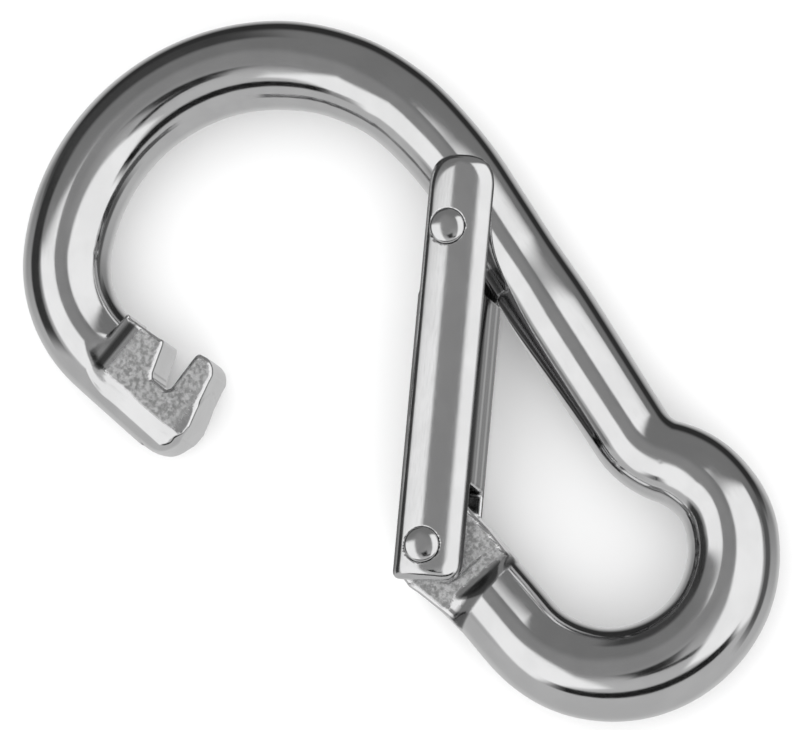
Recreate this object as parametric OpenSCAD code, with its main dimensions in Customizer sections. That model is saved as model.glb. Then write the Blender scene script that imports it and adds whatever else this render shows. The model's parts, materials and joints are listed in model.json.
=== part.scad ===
// Asymmetric snap hook: a forged bar with a big bow and a small eye, and a sprung gate.
// The hook lies in the XY plane. The origin is the centre of the small eye at mid thickness,
// +X points from the eye to the big bow, and the gate is on the +Y side, drawn pushed open.

/* [Hook] */
// Overall length, from the outside of the bow to the outside of the eye
hook_length = 100; // [99:0.5:102]
// Radius of the big bow, on the bar's centre line
bow_r = 24; // [23.8:0.05:24.2]
// Radius of the small eye, on the bar's centre line
eye_r = 13.75; // [13.6:0.05:13.9]
// Bar diameter round the big bow
bow_bar_d = 10.2; // [10:0.1:10.4]
// Bar diameter at the bottom of the small eye
eye_bar_d = 10.7; // [10.4:0.1:10.8]
// Bar diameter of the spine, which the open gate straddles
spine_bar_d = 9.2; // [8.8:0.1:9.2]
// Angle of the spine to the hook's long axis
spine_deg = 17.5; // [17.3:0.1:17.7]
// Thickness of the flattened claw and tongue
flat_t = 8; // [7.6:0.1:8]

/* [Gate] */
// Distance from the hinge rivet to the latch rivet
latch_r = 36.4; // [36.3:0.05:36.4]
// Direction of the gate, from hinge to latch, when shut
shut_deg = 5.9; // [5.8:0.1:6]
// Direction of the gate when it rests open against the spine
open_deg = -54.5; // [-54.5:0.5:-30]
// Width of the gate, across its two forks
gate_w = 12.4; // [12.2:0.1:13]
// Depth of the gate from the rivets to its outer side
gate_back = 3.4; // [3:0.1:3.5]
// Depth of the gate from the rivets to its inner side
gate_front = 4.7; // [4.4:0.1:4.7]
// Angle of the gate's sides to the line through its rivets
gate_lean = 0.6; // [0:0.1:0.6]
// Length of the gate beyond the latch rivet
gate_tip = 8.5; // [7.5:0.1:8.5]
// Length of the gate behind the hinge rivet
gate_heel = 3.9; // [3.6:0.1:4]
// Width of the slot that straddles the claw
nose_slot_w = 9.4; // [9.3:0.1:9.6]
// Width of the slot that straddles the tongue
hinge_slot_w = 8.2; // [8.1:0.05:8.3]

/* [Rivets and spring] */
// Shank diameter of the hinge rivet
hinge_pin_d = 3; // [2.6:0.1:3.2]
// Shank diameter of the latch rivet
latch_pin_d = 2.4; // [2.2:0.1:2.4]
// Diameter of the rivets' domed heads
head_d = 4; // [3.8:0.1:4.2]
// Diameter of the plunger
plunger_d = 4.4; // [4:0.1:4.6]
// Wire diameter of the gate spring
wire_d = 0.6; // [0.4:0.05:0.7]
// Number of turns of the gate spring
spring_turns = 7; // [5:1:8]

/* [Hidden] */
$fn = 64;

// Clearances
rivet_fit = 0.02;      // rivet shank in the gate, radial
hinge_fit = 0.06;      // hinge rivet in the tongue, radial
plunger_fit = 0.1;     // plunger in its bore, radial
seat_gap = 0.05;       // latch rivet to its seat on the spine
notch_gap = 0.06;      // latch rivet to the floor of the notch
cam_gap = 0.18;        // plunger to the cam nose, with the gate open
cut = 20;              // height of the cutting solids
over = 0.5;            // how far a cutting solid runs past a face

// The hook's main points
bow_x = hook_length - bow_r - bow_bar_d / 2 - eye_r - eye_bar_d / 2;
bow_c = [bow_x, 0];
hinge = [16.5, 12.9];
flat_z = flat_t / 2;

// Direction and perpendicular of an angle
function dir(a) = [cos(a), sin(a)];
function len2(v) = sqrt(v * v);
function angle_of(v) = atan2(v[1], v[0]);

// Eye: a main arc from the tongue, then a tighter arc towards the spine
tongue_deg = 80;
eye_thick_from_deg = 110;
eye_thick_to_deg = 205;
eye_end_deg = 225;
eye2_r = 10.5;
eye2_c = (eye_r - eye2_r) * dir(eye_end_deg);

// Spine: a straight line, its outward normal, and its distance from the bow's centre
spine_dir = dir(-spine_deg);
spine_out = dir(-90 - spine_deg);
spine_off = bow_r + 0.65;

// A long-radius blend between the spine and the bow
blend_r = 50;
bow_start_deg = -90 - spine_deg + acos((blend_r - spine_off) / (blend_r - bow_r));
blend_c = bow_c - (blend_r - bow_r) * dir(bow_start_deg);
spine_top = blend_c + blend_r * spine_out;

// The reverse kink between the eye and the spine
kink_r = 8;
eye2_off = (spine_top - eye2_c) * spine_out;
kink_run = sqrt(pow(eye2_r + kink_r, 2) - pow(eye2_off + kink_r, 2));
kink_c = eye2_c + (eye2_off + kink_r) * spine_out + kink_run * spine_dir;
kink_deg = angle_of(kink_c - eye2_c);
spine_foot = eye2_c + eye2_off * spine_out + kink_run * spine_dir;
spine_l = len2(spine_top - spine_foot);

// The bow tightens to a nose arc that runs into the claw
nose_r = 14;
nose_start_deg = 32;
nose_end_deg = 88;
nose_c = bow_c + (bow_r - nose_r) * dir(nose_start_deg);
nose_bar_d = 10;
nose_end = nose_c + nose_r * dir(nose_end_deg);

// Bar diameters between the driving ones
tongue_bar_d = 10.1;
mid_bar_d = 10.4;
eye2_bar_d = 10;
kink_bar_d = 9.5;
spine_swell_d = 9.7;
blend_bar_d = spine_bar_d + 0.1;
bow_slim_d = spine_bar_d + 0.3;
bow_swell_d = spine_bar_d + 0.6;
nose_root_d = nose_bar_d + 0.1;

// Where the bar's diameter changes: shares of the spine's length, and angles round the bow
swell_share = 0.48;
slim_share = 0.72;
bow_swell_deg = -78;
bow_full_deg = -62;
bow_thin_deg = 20;

// How far a slimmer stretch laps into its thicker neighbour, along the bar and round a bend
lap = 0.3;
lap_deg = 1;

// Claw: the flattened nose, its corner, its finger and its notch
claw_deg = nose_end_deg + 90;
claw_foot_x = 58.7;
claw_ramp_l = 3.4;
claw_bar_d = nose_bar_d - 0.1;
claw_inner_y = 14.2;
claw_corner = [50.2, 20.9];
claw_corner_r = 3.6;
finger_tip = [50, 13.9];
finger_tip_r = 1.7;
claw_l = 16;
claw_end_x = 45;
claw_low_y = 11;
barrel_r = 6;
barrel_x = 52.5;
latch_shut = hinge + latch_r * dir(shut_deg);

// Tongue: shoulder, hinge boss, outer corner and cam nose
tongue_bar_l = 9;
tongue_foot_x = 9.4;
tongue_ramp_l = 1.6;
tongue_top_y = 17.4;
boss_r = 3.3;
corner_x = hinge[0] - 1.3;
corner_r = 2.9;
cam_deg = -84;
cam_offset = 2.2;
cam_r = 4.4;
cam_c = hinge + cam_offset * dir(cam_deg);
ramp_rise = 1.4;       // height of both shoulders above their flats
plate_z = flat_z + 0.25;       // half thickness of the claw and tongue before the flats are cut

// Shallow seat on the spine where the latch rivet rests when the gate is open
seat_r = 6.5;
latch_open = hinge + latch_r * dir(open_deg);

// Gate profile, in its own axes: x from the hinge to the latch, y to its outer side
gate_mid_y = (gate_back - gate_front) / 2;
gate_depth = gate_back + gate_front;
gate_x0 = -gate_heel;
gate_x1 = latch_r + gate_tip;
crown_drop = 0.9;
crown_r = (pow(gate_depth / 2, 2) + pow(crown_drop, 2)) / (2 * crown_drop);
tip_corner_r = 1.8;
heel_corner_r = 1.2;
nose_slot_x = 29;
flare_l = 1.5;
flare_w = 0.6;
hinge_slot_x = 7.5;
bore_end_x = 24;
head_sink = 0.45;              // depth of the shallow seat under each rivet head
seat_z = gate_w / 2 - head_sink;
head_h = 1;                    // rivet head, from its seat to its crown

// Plunger and spring, in the gate's axes
cam_reach = cam_r + cam_offset * cos(cam_deg - open_deg + gate_lean);
plunger_face_x = cam_reach + cam_gap;
plunger_l = 6;
stem_d = 2.2;
stem_l = 2;
spring_x0 = plunger_face_x + plunger_l;
coil_r = plunger_d / 2 - wire_d / 2 - plunger_fit;
wire_sides = 6;
turn_steps = 14;

// ---- Hook body ----

// One stretch of bar bent to a circular arc, from angle a0 up to a1
module arc_bar(c, r, a0, a1, d) {
    translate([c[0], c[1], 0])
        rotate(a0)
            rotate_extrude(angle = a1 - a0, $fn = 128)
                translate([r, 0])
                    circle(d = d);
}

// A straight stretch of bar that starts at point p and runs in direction a, turned to the profile
// [[distance, diameter], ...]
module turned_bar(p, a, profile) {
    last = len(profile) - 1;
    outline = [for (q = profile) [q[1] / 2, q[0]]];
    translate([p[0], p[1], 0])
        rotate([0, 90, a])
            rotate_extrude()
                polygon(concat([[0, profile[0][0]]], outline, [[0, profile[last][0]]]));
}

// Cuts the bar down to the flat thickness from the point foot onwards in direction a, over a run of
// far_l and a width of w, with a ramp of length ramp_l that leads down to it
module flat_cut(foot, a, far_l, w, ramp_l) {
    for (side = [1, -1])
        translate([foot[0], foot[1], 0])
            rotate([90, 0, a])
                linear_extrude(w, center = true)
                    polygon([
                        [far_l, side * flat_z], [0, side * flat_z], [-ramp_l, side * (flat_z + ramp_rise)],
                        [-ramp_l, side * cut], [far_l, side * cut]
                    ]);
}

// Each slimmer stretch laps a little into its thicker neighbour
module eye_bar() {
    turned_bar(eye_r * dir(tongue_deg), tongue_deg - 90,
        [[-lap, tongue_bar_d], [tongue_bar_l, tongue_bar_d]]);
    arc_bar([0, 0], eye_r, tongue_deg, eye_thick_from_deg + lap_deg, mid_bar_d);
    arc_bar([0, 0], eye_r, eye_thick_from_deg, eye_thick_to_deg, eye_bar_d);
    arc_bar([0, 0], eye_r, eye_thick_to_deg - lap_deg, eye_end_deg, mid_bar_d);
    arc_bar(eye2_c, eye2_r, eye_end_deg - lap_deg, 360 + kink_deg, eye2_bar_d);
    arc_bar(kink_c, kink_r, 90 - spine_deg, 180 + kink_deg + lap_deg, kink_bar_d);
}

// The spine swells a little below the gate and is slimmest where the gate straddles it
module spine_bar() {
    turned_bar(spine_foot, -spine_deg, [
        [-lap, kink_bar_d - 0.1], [swell_share * spine_l, spine_swell_d],
        [slim_share * spine_l, spine_bar_d], [spine_l + lap, spine_bar_d]
    ]);
}

// The bow thickens in steps towards its far side, and slims again into the nose
module bow_bar() {
    arc_bar(blend_c, blend_r, -90 - spine_deg, bow_start_deg + lap_deg / 2, blend_bar_d);
    arc_bar(bow_c, bow_r, bow_start_deg, bow_swell_deg + lap_deg, bow_slim_d);
    arc_bar(bow_c, bow_r, bow_swell_deg, bow_full_deg + lap_deg, bow_swell_d);
    arc_bar(bow_c, bow_r, bow_full_deg, bow_thin_deg, bow_bar_d);
    arc_bar(bow_c, bow_r, bow_thin_deg - lap_deg, nose_start_deg, nose_root_d);
    arc_bar(nose_c, nose_r, nose_start_deg - lap_deg, nose_end_deg, nose_bar_d);
}

// Side outline of the claw, with its outer corner and the finger beyond the notch
module claw_outline() {
    outer_x = claw_corner[0] - claw_corner_r;
    translate(finger_tip)
        circle(finger_tip_r);
    translate(claw_corner)
        circle(claw_corner_r);
    polygon([
        [62, 26], [claw_corner[0], 26], [claw_corner[0], claw_corner[1]], [outer_x, claw_corner[1]],
        [outer_x + 0.1, 17.8], [finger_tip[0] - finger_tip_r + 0.1, 13.3], [finger_tip[0], 12.2],
        [52, 12.4], [56, claw_inner_y - 0.3], [60, claw_inner_y], [62, claw_inner_y - 2]
    ]);
}

// The claw: the bar's round outer side, with flats, joined to a square-edged inner side
module claw() {
    difference() {
        intersection() {
            union() {
                turned_bar(nose_end, claw_deg, [[-lap, claw_bar_d], [claw_l, claw_bar_d]]);
                translate([claw_end_x, claw_low_y, -plate_z])
                    cube([claw_foot_x + 0.9 - claw_end_x, nose_end[1] - claw_low_y, 2 * plate_z]);
            }
            linear_extrude(cut, center = true)
                claw_outline();
            union() {
                translate([barrel_x, claw_low_y + cut, 0])
                    rotate([90, 0, 0])
                        cylinder(h = cut + 1, r = barrel_r);
                translate([barrel_x, claw_low_y - 1, -cut / 2])
                    cube([cut, cut, cut]);
            }
        }
        flat_cut([claw_foot_x, nose_end[1]], claw_deg, cut, claw_l, claw_ramp_l);
    }
}

// Open notch that takes the latch rivet, drawn about the rivet where it lies when the gate is shut.
// Its finger side is steep, and its other side slants to lead the rivet in.
module notch() {
    floor_y = latch_pin_d / 2 + notch_gap;
    translate([latch_shut[0], latch_shut[1], 0])
        linear_extrude(cut, center = true)
            polygon([
                [-1.25, -6.6], [-1.3, -3.1], [-1.5, 0.75], [-1.1, floor_y],
                [0.9, floor_y], [1.3, 0.75], [2.5, -2.6], [3.7, -6.6]
            ]);
}

// Plate with the round boss about the hinge and the eccentric cam nose
module tongue() {
    linear_extrude(2 * plate_z, center = true) {
        translate(hinge)
            circle(boss_r);
        translate([corner_x, tongue_top_y - corner_r])
            circle(corner_r);
        translate(cam_c)
            circle(cam_r);
        polygon([
            [8.4, 7.6], [12.2, 6.8], [cam_c[0], cam_c[1] - cam_r], [cam_c[0], cam_c[1]],
            [corner_x, tongue_top_y], [8.1, tongue_top_y - 0.1]
        ]);
    }
}

// Everything of the body at the tongue's end is cut down to the tongue's flats
module tongue_flats() {
    flat_cut([tongue_foot_x, hinge[1]], tongue_deg - 90, cut, claw_l, tongue_ramp_l);
}

module hook_body() {
    seat_c = latch_open + (latch_pin_d / 2 + seat_gap - seat_r) * spine_out;
    color("silver")
        difference() {
            union() {
                eye_bar();
                spine_bar();
                bow_bar();
                claw();
                tongue();
            }
            tongue_flats();
            notch();
            translate([hinge[0], hinge[1], 0])
                cylinder(h = cut, d = hinge_pin_d + 2 * hinge_fit, center = true);
            translate([seat_c[0], seat_c[1], 0])
                cylinder(h = cut, r = seat_r, center = true);
        }
}

// ---- Gate and what it carries ----

// Places a child in the rivets' axes: x from the hinge to the latch
module on_rivets() {
    translate([hinge[0], hinge[1], 0])
        rotate(open_deg)
            children();
}

// Places a child in the gate's own axes, which lean a little from the rivets' line
module on_gate() {
    on_rivets()
        rotate(-gate_lean)
            children();
}

// Side outline of the gate with its rounded ends
module gate_outline() {
    for (y = [-gate_front + tip_corner_r, gate_back - tip_corner_r])
        translate([gate_x1 - tip_corner_r, y])
            circle(tip_corner_r);
    translate([gate_x0 + heel_corner_r, -gate_front + heel_corner_r])
        circle(heel_corner_r);
    polygon([
        [gate_x0 + heel_corner_r, -gate_front], [gate_x1 - tip_corner_r, -gate_front],
        [gate_x1 - tip_corner_r, gate_back], [gate_x0, gate_back],
        [gate_x0, -gate_front + heel_corner_r], [gate_x0 + heel_corner_r, -gate_front + heel_corner_r]
    ]);
    translate([gate_x1 - 2 * tip_corner_r, -gate_front + tip_corner_r])
        square([2 * tip_corner_r, gate_depth - 2 * tip_corner_r]);
}

// Crowned cross-section of the gate, in its y and z axes
module gate_section() {
    intersection() {
        translate([gate_mid_y, gate_w / 2 - crown_r])
            circle(crown_r);
        translate([gate_mid_y, crown_r - gate_w / 2])
            circle(crown_r);
        translate([gate_mid_y, 0])
            square([gate_depth + 2 * over, gate_w + 2 * over], center = true);
    }
}

module fork_slot(x0, x1, w) {
    translate([x0, -cut / 2, -w / 2])
        cube([x1 - x0, cut, w]);
}

// Lead-in that opens the nose slot at its mouth
module slot_flare() {
    mouth_z = nose_slot_w / 2 + flare_w * (1 + over / flare_l);
    rotate([90, 0, 0])
        linear_extrude(cut, center = true)
            polygon([
                [gate_x1 - flare_l, -nose_slot_w / 2], [gate_x1 - flare_l, nose_slot_w / 2],
                [gate_x1 + over, mouth_z], [gate_x1 + over, -mouth_z]
            ]);
}

module rivet_hole(x, d) {
    translate([x, 0, 0]) {
        cylinder(h = cut, d = d + 2 * rivet_fit, center = true);
        for (side = [0, 1])
            mirror([0, 0, side])
                translate([0, 0, seat_z])
                    cylinder(h = cut / 2, d = head_d + 2 * rivet_fit);
    }
}

module gate_bar() {
    intersection() {
        linear_extrude(gate_w + 2 * over, center = true)
            gate_outline();
        translate([gate_x0 - over, 0, 0])
            rotate([90, 0, 90])
                linear_extrude(gate_x1 - gate_x0 + 2 * over)
                    gate_section();
    }
}

module gate() {
    color("gainsboro")
        difference() {
            on_gate()
                difference() {
                    gate_bar();
                    fork_slot(nose_slot_x, gate_x1 + over, nose_slot_w);
                    slot_flare();
                    fork_slot(gate_x0 - over, hinge_slot_x, hinge_slot_w);
                    translate([hinge_slot_x - over, gate_mid_y, 0])
                        rotate([0, 90, 0])
                            cylinder(h = bore_end_x - hinge_slot_x + over,
                                d = plunger_d + 2 * plunger_fit);
                }
            on_rivets() {
                rivet_hole(0, hinge_pin_d);
                rivet_hole(latch_r, latch_pin_d);
            }
        }
}

// Rivet with a domed head at each end
module rivet(d) {
    cylinder(h = 2 * seat_z, d = d, center = true);
    dome_r = (pow(head_d / 2, 2) + pow(head_h / 2, 2)) / head_h;
    for (side = [0, 1])
        mirror([0, 0, side])
            translate([0, 0, seat_z]) {
                cylinder(h = head_h / 2, d = head_d);
                translate([0, 0, head_h / 2])
                    intersection() {
                        translate([0, 0, head_h / 2 - dome_r])
                            sphere(dome_r);
                        cylinder(h = head_h, d = head_d);
                    }
            }
}

module hinge_rivet() {
    color("lightgray")
        on_rivets()
            rivet(hinge_pin_d);
}

module latch_rivet() {
    color("lightgray")
        on_rivets()
            translate([latch_r, 0, 0])
                rivet(latch_pin_d);
}

module plunger() {
    color("darkgray")
        on_gate()
            translate([plunger_face_x, gate_mid_y, 0])
                rotate([0, 90, 0]) {
                    cylinder(h = plunger_l, d = plunger_d);
                    cylinder(h = plunger_l + stem_l, d = stem_d);
                }
}

// Point i of the ring around the wire at step s along the coil
function ring_point(s, i) =
    let (
        turn = 360 * s / turn_steps,
        side = 360 * i / wire_sides,
        reach = coil_r + wire_d / 2 * cos(side),
        run = bore_end_x - spring_x0 - wire_d,
        along = wire_d / 2 + run * s / (turn_steps * spring_turns)
    )
    [reach * cos(turn), reach * sin(turn), along + wire_d / 2 * sin(side)];

module gate_spring() {
    steps = turn_steps * spring_turns;
    points = [for (s = [0 : steps]) for (i = [0 : wire_sides - 1]) ring_point(s, i)];
    walls = [
        for (s = [0 : steps - 1]) for (i = [0 : wire_sides - 1])
            let (a = s * wire_sides, j = (i + 1) % wire_sides)
            [a + i, a + wire_sides + i, a + wire_sides + j, a + j]
    ];
    first_cap = [[for (i = [0 : wire_sides - 1]) i]];
    last_cap = [[for (i = [wire_sides - 1 : -1 : 0]) steps * wire_sides + i]];
    color("dimgray")
        on_gate()
            translate([spring_x0, gate_mid_y, 0])
                rotate([0, 90, 0])
                    polyhedron(points, concat(walls, first_cap, last_cap));
}

hook_body();
gate();
hinge_rivet();
latch_rivet();
plunger();
gate_spring();
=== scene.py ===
import json
import math

import bpy
import mathutils
import numpy as np
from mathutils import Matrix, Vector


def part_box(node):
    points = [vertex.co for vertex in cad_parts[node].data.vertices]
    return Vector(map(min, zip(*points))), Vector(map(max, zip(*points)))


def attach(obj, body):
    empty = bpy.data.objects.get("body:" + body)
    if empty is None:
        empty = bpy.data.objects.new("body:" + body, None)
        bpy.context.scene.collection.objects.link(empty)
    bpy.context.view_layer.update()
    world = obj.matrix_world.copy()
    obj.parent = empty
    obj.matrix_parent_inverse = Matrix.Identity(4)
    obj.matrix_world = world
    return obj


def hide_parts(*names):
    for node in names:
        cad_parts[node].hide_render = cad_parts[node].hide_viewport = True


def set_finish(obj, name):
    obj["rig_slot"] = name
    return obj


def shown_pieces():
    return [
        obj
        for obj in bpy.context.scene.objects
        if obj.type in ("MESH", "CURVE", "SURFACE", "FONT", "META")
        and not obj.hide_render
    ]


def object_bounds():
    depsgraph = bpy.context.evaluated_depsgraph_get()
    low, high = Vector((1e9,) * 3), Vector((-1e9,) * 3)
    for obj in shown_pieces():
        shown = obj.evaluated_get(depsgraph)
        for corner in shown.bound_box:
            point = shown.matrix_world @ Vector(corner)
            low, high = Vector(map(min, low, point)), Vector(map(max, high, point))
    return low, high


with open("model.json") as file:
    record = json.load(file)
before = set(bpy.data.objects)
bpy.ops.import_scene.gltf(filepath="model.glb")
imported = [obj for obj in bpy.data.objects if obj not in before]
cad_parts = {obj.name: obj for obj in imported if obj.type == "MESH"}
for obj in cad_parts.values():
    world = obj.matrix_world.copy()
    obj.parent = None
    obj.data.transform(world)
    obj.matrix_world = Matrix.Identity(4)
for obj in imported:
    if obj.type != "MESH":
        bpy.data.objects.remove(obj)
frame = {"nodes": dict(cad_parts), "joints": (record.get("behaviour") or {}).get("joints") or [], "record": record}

# Looks for a polished snap hook: one bent bar, a forked gate, two rivets, a plunger and a spring.
# Shapes are worked out in millimetres, as signed distances in the part's own frame, and turned into
# metres when a mesh is made. Angles are in degrees.

MM = 0.001
CAD_LO, CAD_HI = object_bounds()


# ---- What the frame says ----


def box_mm(node):
    """Lowest and highest corners of a CAD node, in millimetres."""
    lo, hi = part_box(node)
    return np.array(lo) / MM, np.array(hi) / MM


def unit(angle):
    """The direction of an angle in the XY plane."""
    return np.array([math.cos(math.radians(angle)), math.sin(math.radians(angle))])


def angle_of(v):
    return math.degrees(math.atan2(v[1], v[0]))


MOUNTS = {m["name"]: np.array(m["pos_m"]) / MM for m in frame["record"]["mounts"]}
JOINTS = {j["name"]: j for j in frame["joints"]}
BODY_LO, BODY_HI = box_mm("hook_body")
GATE_LO, GATE_HI = box_mm("gate")
LATCH_LO, LATCH_HI = box_mm("latch_rivet")

EYE_C = MOUNTS["eye"][:2]
BOW_C = MOUNTS["bow"][:2]
HINGE = np.array(JOINTS["gate_hinge"]["pos_m"][:2]) / MM
LATCH = (LATCH_LO[:2] + LATCH_HI[:2]) / 2
LATCH_R = float(np.linalg.norm(LATCH - HINGE))
LATCH_SHUT = HINGE + LATCH_R * unit(angle_of(LATCH - HINGE) + JOINTS["gate_hinge"]["range_deg"][1])
GATE_DEG = angle_of(-np.array(JOINTS["plunger_slide"]["axis"][:2]))
EYE_D = 2 * BODY_HI[2]
EYE_R = EYE_C[0] - BODY_LO[0] - EYE_D / 2
BOW_D = 10.2
BOW_R = BODY_HI[0] - BOW_C[0] - BOW_D / 2
GATE_W = GATE_HI[2] - GATE_LO[2]
HEAD_D = LATCH_HI[0] - LATCH_LO[0]
HEAD_TOP = LATCH_HI[2]

# The bar's path: eye, tighter second arc, reverse kink, straight spine, long blend, bow and nose
EYE2_R = 10.5
KINK_R = 8.0
BLEND_R = 50.0
NOSE_R = 14.0
SPINE_DEG = 17.5
SPINE_OFF = BOW_R + 0.65
TONGUE_DEG = 80
EYE_END_DEG = 225
NOSE_START_DEG = 32
NOSE_END_DEG = 88
TONGUE_BAR_L = 9.0
CLAW_L = 16.0

SPINE_DIR = unit(-SPINE_DEG)
SPINE_OUT = unit(-90 - SPINE_DEG)
EYE2_C = EYE_C + (EYE_R - EYE2_R) * unit(EYE_END_DEG)
BOW_START_DEG = -90 - SPINE_DEG + math.degrees(math.acos((BLEND_R - SPINE_OFF) / (BLEND_R - BOW_R)))
BLEND_C = BOW_C - (BLEND_R - BOW_R) * unit(BOW_START_DEG)
SPINE_TOP = BLEND_C + BLEND_R * SPINE_OUT
EYE2_OFF = float((SPINE_TOP - EYE2_C) @ SPINE_OUT)
KINK_RUN = math.sqrt((EYE2_R + KINK_R) ** 2 - (EYE2_OFF + KINK_R) ** 2)
KINK_C = EYE2_C + (EYE2_OFF + KINK_R) * SPINE_OUT + KINK_RUN * SPINE_DIR
KINK_DEG = angle_of(KINK_C - EYE2_C)
SPINE_FOOT = EYE2_C + EYE2_OFF * SPINE_OUT + KINK_RUN * SPINE_DIR
NOSE_C = BOW_C + (BOW_R - NOSE_R) * unit(NOSE_START_DEG)
NOSE_END = NOSE_C + NOSE_R * unit(NOSE_END_DEG)
TONGUE_TOP = EYE_C + EYE_R * unit(TONGUE_DEG)
TONGUE_END = TONGUE_TOP + TONGUE_BAR_L * unit(TONGUE_DEG - 90)
CLAW_DEG = NOSE_END_DEG + 90

# Both flattened ends of the bar: half thickness, and how much of a shoulder's slope its distance counts.
# Names that end in SOFT say how far a join or an edge is rounded.
FLAT_Z = 4.0
SLOPE_SHARE = 0.7

# Claw: the zone it is worked out in, and the shoulder that slopes from its foot up to the bar
CLAW_X = (35.0, 66.0)
CLAW_FROM_Y = 6.0
CLAW_FOOT_X = 58.7
CLAW_SLOPE = 0.41
CLAW_FOOT_SOFT = 1.4
# Its block: the radius of its round outer side, how far it runs past the foot, and where the bar ends in it
CLAW_BAR_R = 4.95
CLAW_SIDE_SOFT = 0.8
BLOCK_PAST_FOOT = 1.9
BLOCK_END_SOFT = 0.6
BLOCK_JOIN_SOFT = 0.12
BAR_CUT_FROM = 0.5
BAR_CUT_TO = 0.9
BAR_CUT_SOFT = 0.6
# Its flat faces' edges: least rounding, and how much more there is on the outer side
FACE_SOFT_MIN = 0.5
FACE_SOFT_MORE = 1.3
# Its free end: the round corner and finger tip in plan, and the barrel shape across its thickness
CLAW_CORNER = np.array([50.2, 21.02])
CLAW_CORNER_R = 3.6
CLAW_CORNER_LEFT = CLAW_CORNER[0] - CLAW_CORNER_R
CLAW_CORNER_SOFT = 0.08
FINGER_TIP = np.array([50.0, 13.9])
FINGER_TIP_R = 1.7
FINGER_SOFT = 0.3
BARREL_X = 52.5
BARREL_R = 6.0
BARREL_SOFT = 1.0
# Its outline, which runs past the block's root and outer side
CLAW_PAST_Y = 26
CLAW_ROOT_X = 62
CLAW_OUTLINE = [
    (CLAW_ROOT_X, CLAW_PAST_Y), (CLAW_CORNER[0], CLAW_PAST_Y), tuple(CLAW_CORNER),
    (CLAW_CORNER_LEFT, CLAW_CORNER[1]), (CLAW_CORNER_LEFT, 19.4),
    (FINGER_TIP[0] - FINGER_TIP_R + 0.1, 13.3), (FINGER_TIP[0], 12.2), (52, 12.4), (56, 13.9),
    (60, 14.2), (CLAW_ROOT_X, 12.2),
]
# Its notch, measured from the centre of the latch rivet when the gate is shut
LATCH_PIN_R = 1.2
NOTCH_FLOOR = LATCH_PIN_R + 0.06
NOTCH_PAST = -6.6
NOTCH_SOFT = 0.5
NOTCH = [
    (-1.25, NOTCH_PAST), (-1.3, -3.1), (-1.5, 0.75), (-1.1, NOTCH_FLOOR), (0.9, NOTCH_FLOOR),
    (1.3, 0.75), (2.5, -2.6), (3.7, NOTCH_PAST),
]

# Tongue: the zone it is worked out in, and the shoulder that slopes from its foot up to the bar
TONGUE_X = (4.5, 27.0)
TONGUE_FROM_Y = 4.0
TONGUE_FOOT = np.array([9.4, HINGE[1]])
TONGUE_SLOPE = 0.875
TONGUE_FOOT_SOFT = 1.0
TONGUE_END_SOFT = 0.5
TONGUE_JOIN_SOFT = 0.8
TONGUE_FACE_SOFT = 0.5
# Its plate: the boss round the hinge, the outer corner, the cam nose, and the outline between them
PLATE_X = 8.3
TONGUE_TOP_Y = 17.4
BOSS_R = 3.3
TONGUE_CORNER_R = 2.9
TONGUE_CORNER = (HINGE[0] - 1.3, TONGUE_TOP_Y - TONGUE_CORNER_R)
CAM_C = HINGE + 2.2 * unit(-84)
CAM_R = 4.4
PLATE_JOIN_SOFT = 0.6
PLATE_FILL_SOFT = 0.4
PLATE_EDGE_SOFT = 0.7
TONGUE_OUTLINE = [
    (PLATE_X, 7.6), (12.2, 6.8), (CAM_C[0], CAM_C[1] - CAM_R), tuple(CAM_C),
    (TONGUE_CORNER[0], TONGUE_TOP_Y), (PLATE_X, TONGUE_TOP_Y - 0.1),
]
HINGE_HOLE_R = 1.56
HOLE_SOFT = 0.3

# Seat of the latch rivet on the spine, and how far from the rivet it is worked out
SEAT_R = 6.5
SEAT_GAP = 0.05
SEAT_REACH = 9.0
SEAT_SOFT = 0.25

# Gate, in its own axes: u from the hinge towards the tip, v to its outer side, z across
GATE_BACK = 3.4
GATE_FRONT = 4.7
GATE_TIP = LATCH_R + 8.5
GATE_HEEL = -3.9
GATE_MID_V = (GATE_BACK - GATE_FRONT) / 2
# Its corners at the tip and at the heel's inner and outer side, its long edges, and its crowned faces
TIP_CORNER_R = 3.6
HEEL_INNER_R = 2.4
HEEL_OUTER_R = 0.9
LONG_EDGE_R = 1.4
CROWN_DROP = 0.9
# Its slots, the nose slot's flare, and the spring's bore
NOSE_SLOT_U = 29.0
NOSE_SLOT_Z = 4.7
HINGE_SLOT_U = 7.5
HINGE_SLOT_Z = 4.1
SLOT_CORNER_R = 0.7
SLOT_EDGE_R = 0.45
FLARE_L = 1.5
FLARE = 0.4
BORE_R = 2.3
BORE_END_U = 24.0
# Its rivet holes, and the flat-bottomed wells that the heads sit in
HINGE_PIN_R = 1.5
PIN_FIT = 0.02
WELL_Z = GATE_W / 2 - 0.45
WELL_FIT = 0.04
WELL_SOFT = 0.15


# ---- Signed distances ----


def smooth_min(a, b, k):
    """The lesser of two distances, with the join rounded over about k."""
    h = np.maximum(k - np.abs(a - b), 0) / k
    return np.minimum(a, b) - h * h * k / 4


def smooth_max(a, b, k):
    return -smooth_min(-a, -b, k)


def ease(x, lo, hi):
    t = np.clip((x - lo) / (hi - lo), 0, 1)
    return t * t * (3 - 2 * t)


def disc(x, y, centre, r):
    return np.hypot(x - centre[0], y - centre[1]) - r


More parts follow.
